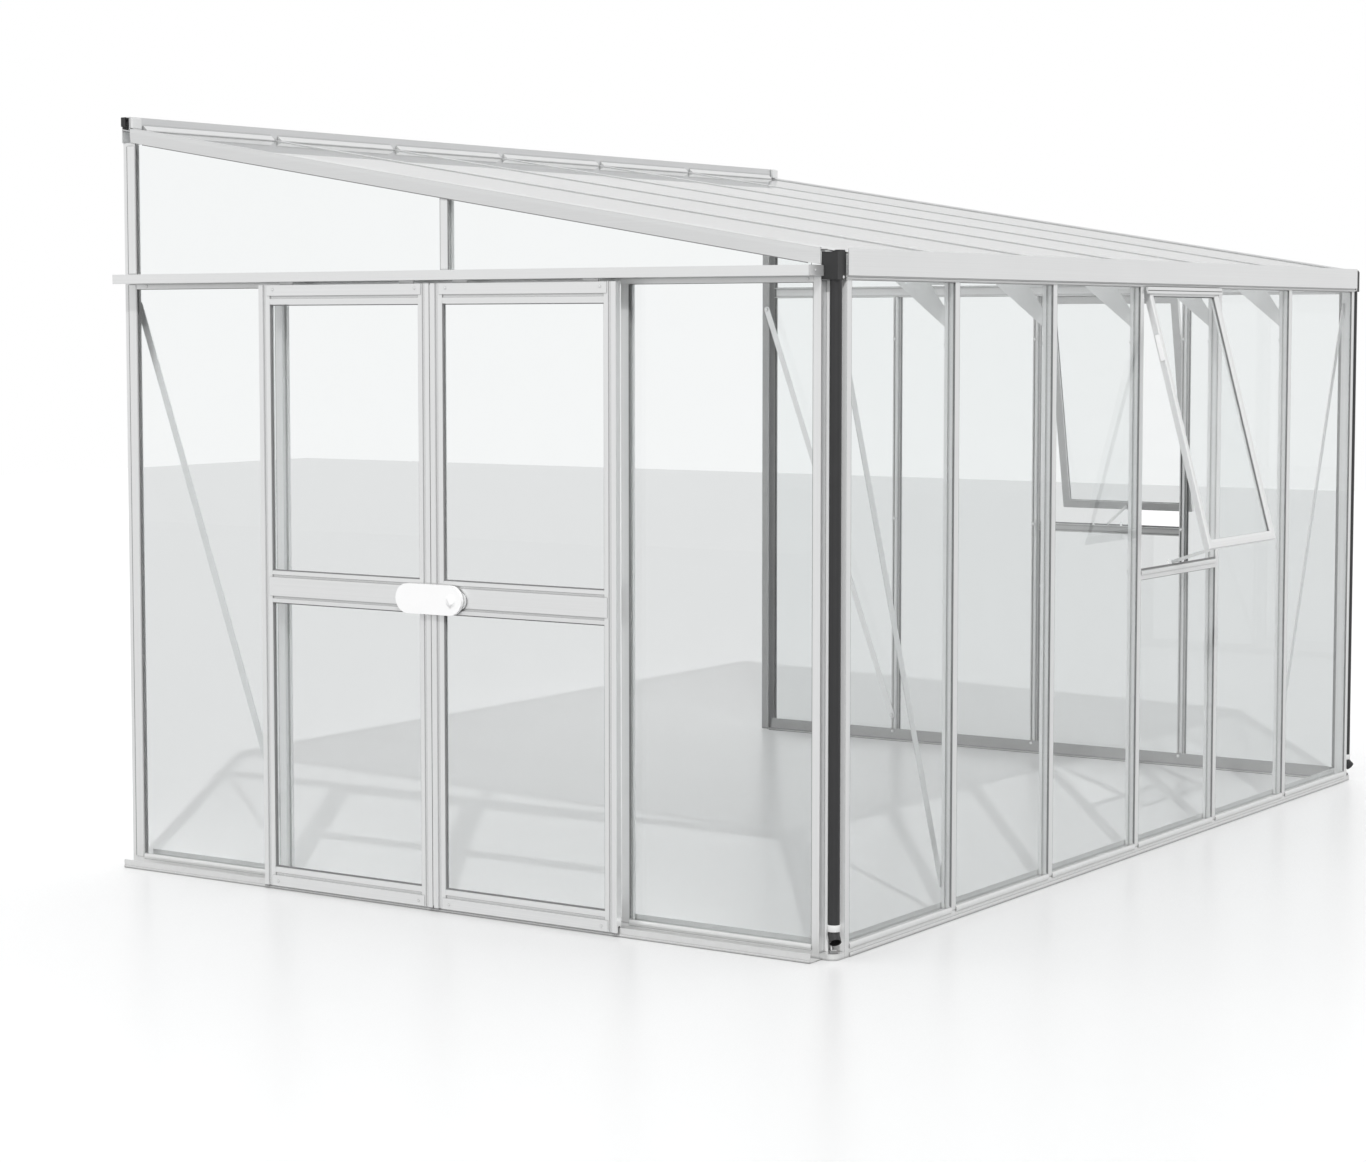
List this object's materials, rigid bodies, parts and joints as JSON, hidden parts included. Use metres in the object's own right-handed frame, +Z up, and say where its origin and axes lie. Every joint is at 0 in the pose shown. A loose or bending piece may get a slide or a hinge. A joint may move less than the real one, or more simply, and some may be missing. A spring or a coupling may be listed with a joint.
{
  "type": "lean-to greenhouse",
  "caption": "Aluminium-framed lean-to greenhouse, open towards a wall, with a glazed mono-pitch roof, sliding doors in one gable, and opening windows.",
  "frame": {"origin": "middle of the bounding box on the ground", "axes": "+Z up, +X along the eaves away from the door gable, +Y towards the wall that it stands against"},
  "size_m": [4.6772, 3.2174, 2.6989],
  "materials": {
    "mill_aluminium": "plain mill finish, satin",
    "clear_glass": "clear, slightly green",
    "black_plastic": "matt",
    "white_plastic": "smooth, half gloss"
  },
  "bodies": {
    "greenhouse": {"corner_post_far": "mill_aluminium", "corner_post_near": "mill_aluminium", "corner_side_pane": "clear_glass", "door_track": "mill_aluminium", "downpipe_far": "black_plastic", "downpipe_near": "black_plastic", "eave_beam": "mill_aluminium", "far_bar_1": "mill_aluminium", "far_bar_2": "mill_aluminium", "far_bar_3": "mill_aluminium", "far_brace": "mill_aluminium", "far_glass": "clear_glass", "far_transom": "mill_aluminium", "far_upper_bar": "mill_aluminium", "far_upper_glass": "clear_glass", "far_window_cill": "mill_aluminium", "far_window_frame": "mill_aluminium", "far_window_glass": "clear_glass", "far_window_stay": "mill_aluminium", "front_bar_1": "mill_aluminium", "front_bar_2": "mill_aluminium", "front_bar_3": "mill_aluminium", "front_bar_4": "mill_aluminium", "front_bar_5": "mill_aluminium", "front_brace_far": "mill_aluminium", "front_brace_near": "mill_aluminium", "front_glass": "clear_glass", "front_window_cill": "mill_aluminium", "front_window_frame": "mill_aluminium", "front_window_glass": "clear_glass", "front_window_stay": "mill_aluminium", "guide_rail": "mill_aluminium", "near_bar_1": "mill_aluminium", "near_bar_3": "mill_aluminium", "near_brace": "mill_aluminium", "near_transom": "mill_aluminium", "near_upper_bar": "mill_aluminium", "near_upper_glass": "clear_glass", "roof_bar_1": "mill_aluminium", "roof_bar_2": "mill_aluminium", "roof_bar_3": "mill_aluminium", "roof_bar_4": "mill_aluminium", "roof_bar_5": "mill_aluminium", "roof_glass": "clear_glass", "sill_far": "mill_aluminium", "sill_front": "mill_aluminium", "sill_near": "mill_aluminium", "verge_far": "mill_aluminium", "verge_near": "mill_aluminium", "wall_bar": "mill_aluminium", "wall_post_far": "mill_aluminium", "wall_post_near": "mill_aluminium", "wall_side_pane": "clear_glass"},
    "wall_side_door": {"wall_side_door_frame": "mill_aluminium", "wall_side_door_lower_glass": "clear_glass", "wall_side_door_upper_glass": "clear_glass"},
    "corner_side_door": {"corner_side_door_frame": "mill_aluminium", "corner_side_door_lower_glass": "clear_glass", "corner_side_door_upper_glass": "clear_glass", "lock": "white_plastic"}
  },
  "joints": [
    {"name": "wall_side_door_slide", "type": "slide", "parent": "greenhouse", "child": "wall_side_door", "axis": [0, 1, 0], "range_m": [0, 0.67]},
    {"name": "corner_side_door_slide", "type": "slide", "parent": "greenhouse", "child": "corner_side_door", "axis": [0, -1, 0], "range_m": [0, 0.67]}
  ]
}
